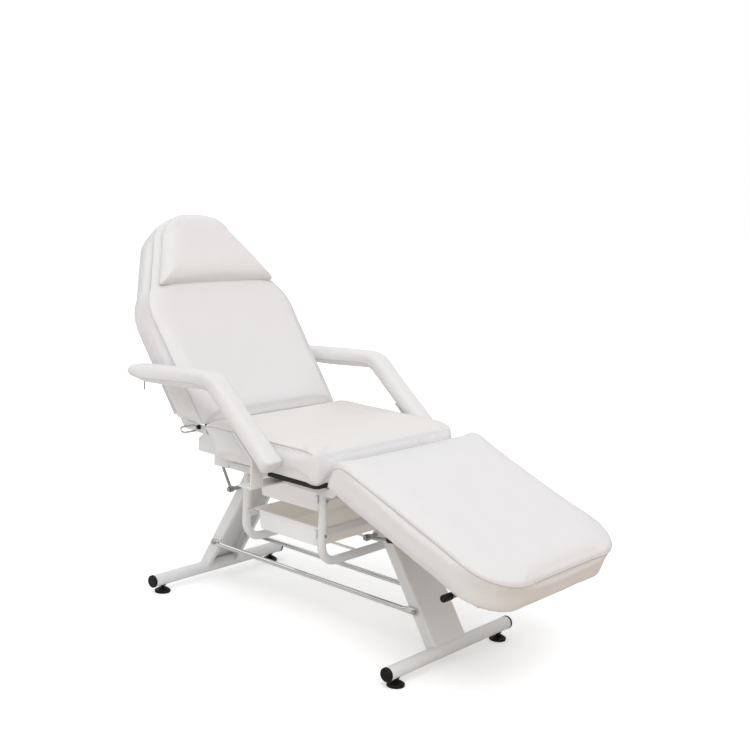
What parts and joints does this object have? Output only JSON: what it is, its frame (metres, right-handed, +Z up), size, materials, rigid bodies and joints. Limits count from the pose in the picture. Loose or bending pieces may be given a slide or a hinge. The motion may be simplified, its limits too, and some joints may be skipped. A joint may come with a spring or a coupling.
{
  "type": "tattoo chair",
  "caption": "Padded tattoo chair with a reclining backrest, tilting leg rest, fixed padded arms and two slide-out trays under the seat.",
  "frame": {"origin": "on the floor, under the middle of the chair's outer box, at the rest pose", "axes": "+X toward the foot end, +Y to the sitter's left, +Z up"},
  "size_m": [1.6186, 0.7794, 1.192],
  "materials": {
    "leatherette": "satin white leatherette with a fine grain",
    "plywood": "raw birch plywood",
    "white_frame": "white powder coat",
    "chrome": "polished chrome plate",
    "zinc_steel": "zinc plate",
    "dark_steel": "black lacquer",
    "black_plastic": "moulded, lightly textured",
    "tray_plastic": "moulded, satin gloss"
  },
  "bodies": {
    "frame": {"rear_foot_tube": "white_frame", "front_foot_tube": "white_frame", "foot_tube_caps": "black_plastic", "levelling_inserts": "black_plastic", "rear_leg": "white_frame", "front_leg": "white_frame", "right_stretcher_rod": "chrome", "left_stretcher_rod": "chrome", "stretcher_bolts": "zinc_steel", "rear_tray_hoop": "white_frame", "front_tray_hoop": "white_frame", "hoop_ties": "white_frame", "tray_runners": "white_frame", "runner_screws": "zinc_steel", "strut_bolts": "zinc_steel", "seat_cushion": "leatherette", "seat_board": "plywood", "left_seat_rail": "white_frame", "right_seat_rail": "white_frame", "seat_cross_tubes": "white_frame", "backrest_hinge_plates": "white_frame", "leg_rest_hinge_plates": "white_frame", "hinge_pins": "zinc_steel", "left_armrest_pad": "leatherette", "right_armrest_pad": "leatherette", "armrest_brackets": "white_frame", "armrest_bolts": "zinc_steel", "armrest_studs": "zinc_steel"},
    "backrest": {"backrest_cushion": "leatherette", "backrest_board": "plywood", "head_pillow": "leatherette", "left_backrest_rail": "white_frame", "right_backrest_rail": "white_frame", "backrest_cross_tubes": "white_frame", "backrest_hinge_lugs": "white_frame", "backrest_strut_hanger": "white_frame", "backrest_lever_bush": "black_plastic"},
    "backrest_lever": {"backrest_lever": "chrome", "backrest_lever_ferrule": "black_plastic"},
    "leg_rest": {"leg_rest_cushion": "leatherette", "leg_rest_board": "plywood", "left_leg_rest_rail": "white_frame", "right_leg_rest_rail": "white_frame", "leg_rest_cross_tubes": "white_frame", "leg_rest_hinge_lugs": "white_frame", "leg_rest_strut_hanger": "white_frame", "leg_rest_lever_bolt": "zinc_steel"},
    "leg_rest_lever": {"leg_rest_lever": "zinc_steel", "leg_rest_lever_grip": "black_plastic"},
    "upper_tray": {"upper_tray": "tray_plastic"},
    "lower_tray": {"lower_tray": "tray_plastic"},
    "backrest_strut_rod": {"backrest_strut_rod": "zinc_steel"},
    "backrest_strut_tube": {"backrest_strut_tube": "dark_steel"},
    "leg_rest_strut_rod": {"leg_rest_strut_rod": "zinc_steel"},
    "leg_rest_strut_tube": {"leg_rest_strut_tube": "dark_steel"},
    "levelling_foot_rear_left": {"levelling_foot_rear_left": "black_plastic"},
    "levelling_foot_rear_right": {"levelling_foot_rear_right": "black_plastic"},
    "levelling_foot_front_left": {"levelling_foot_front_left": "black_plastic"},
    "levelling_foot_front_right": {"levelling_foot_front_right": "black_plastic"}
  },
  "joints": [
    {"name": "backrest_recline", "type": "hinge", "parent": "frame", "child": "backrest", "pos_m": [-0.30948, 0, 0.556], "axis": [0, 1, 0], "range_deg": [-52.5, 17.5]},
    {"name": "leg_rest_tilt", "type": "hinge", "parent": "frame", "child": "leg_rest", "pos_m": [0.21752, 0, 0.492], "axis": [0, -1, 0], "range_deg": [-20, 20]},
    {"name": "backrest_strut_swing", "type": "hinge", "parent": "frame", "child": "backrest_strut_rod", "pos_m": [-0.35248, -0.107, 0.347], "axis": [0, 1, 0], "range_deg": [-37.77, 12.93]},
    {"name": "backrest_strut_slide", "type": "slide", "parent": "backrest_strut_rod", "child": "backrest_strut_tube", "axis": [-0.528, 0, 0.8493], "range_m": [-0.15745, 0.05315]},
    {"name": "leg_rest_strut_swing", "type": "hinge", "parent": "frame", "child": "leg_rest_strut_rod", "pos_m": [0.21352, -0.107, 0.327], "axis": [0, -1, 0], "range_deg": [-18.3, 18.3]},
    {"name": "leg_rest_strut_slide", "type": "slide", "parent": "leg_rest_strut_rod", "child": "leg_rest_strut_tube", "axis": [0.9882, 0, 0.1534], "range_m": [-0.0566, 0.0566]},
    {"name": "backrest_lever_turn", "type": "hinge", "parent": "backrest", "child": "backrest_lever", "pos_m": [-0.35356, 0, 0.56252], "axis": [0, 1, 0], "range_deg": [0, 20], "stiffness_Nm_per_rad": 1},
    {"name": "leg_rest_lever_turn", "type": "hinge", "parent": "leg_rest", "child": "leg_rest_lever", "pos_m": [0.63136, -0.226, 0.3097], "axis": [0.3746, 0, 0.9272], "range_deg": [0, 18], "stiffness_Nm_per_rad": 1},
    {"name": "upper_tray_slide", "type": "slide", "parent": "frame", "child": "upper_tray", "axis": [0, -1, 0], "range_m": [0, 0.28]},
    {"name": "lower_tray_slide", "type": "slide", "parent": "frame", "child": "lower_tray", "axis": [0, -1, 0], "range_m": [0, 0.28]},
    {"name": "levelling_foot_rear_left_screw", "type": "slide", "parent": "frame", "child": "levelling_foot_rear_left", "axis": [0, 0, -1], "range_m": [0, 0.012]},
    {"name": "levelling_foot_rear_right_screw", "type": "slide", "parent": "frame", "child": "levelling_foot_rear_right", "axis": [0, 0, -1], "range_m": [0, 0.012]},
    {"name": "levelling_foot_front_left_screw", "type": "slide", "parent": "frame", "child": "levelling_foot_front_left", "axis": [0, 0, -1], "range_m": [0, 0.012]},
    {"name": "levelling_foot_front_right_screw", "type": "slide", "parent": "frame", "child": "levelling_foot_front_right", "axis": [0, 0, -1], "range_m": [0, 0.012]}
  ],
  "couplings": [
    {"joint": "backrest_strut_swing", "follows": "backrest_recline", "ratio": 0.71},
    {"joint": "backrest_strut_slide", "follows": "backrest_recline", "m_per_rad": 0.17074},
    {"joint": "leg_rest_strut_swing", "follows": "leg_rest_tilt", "ratio": 0.89},
    {"joint": "leg_rest_strut_slide", "follows": "leg_rest_tilt", "m_per_rad": 0.15928}
  ]
}
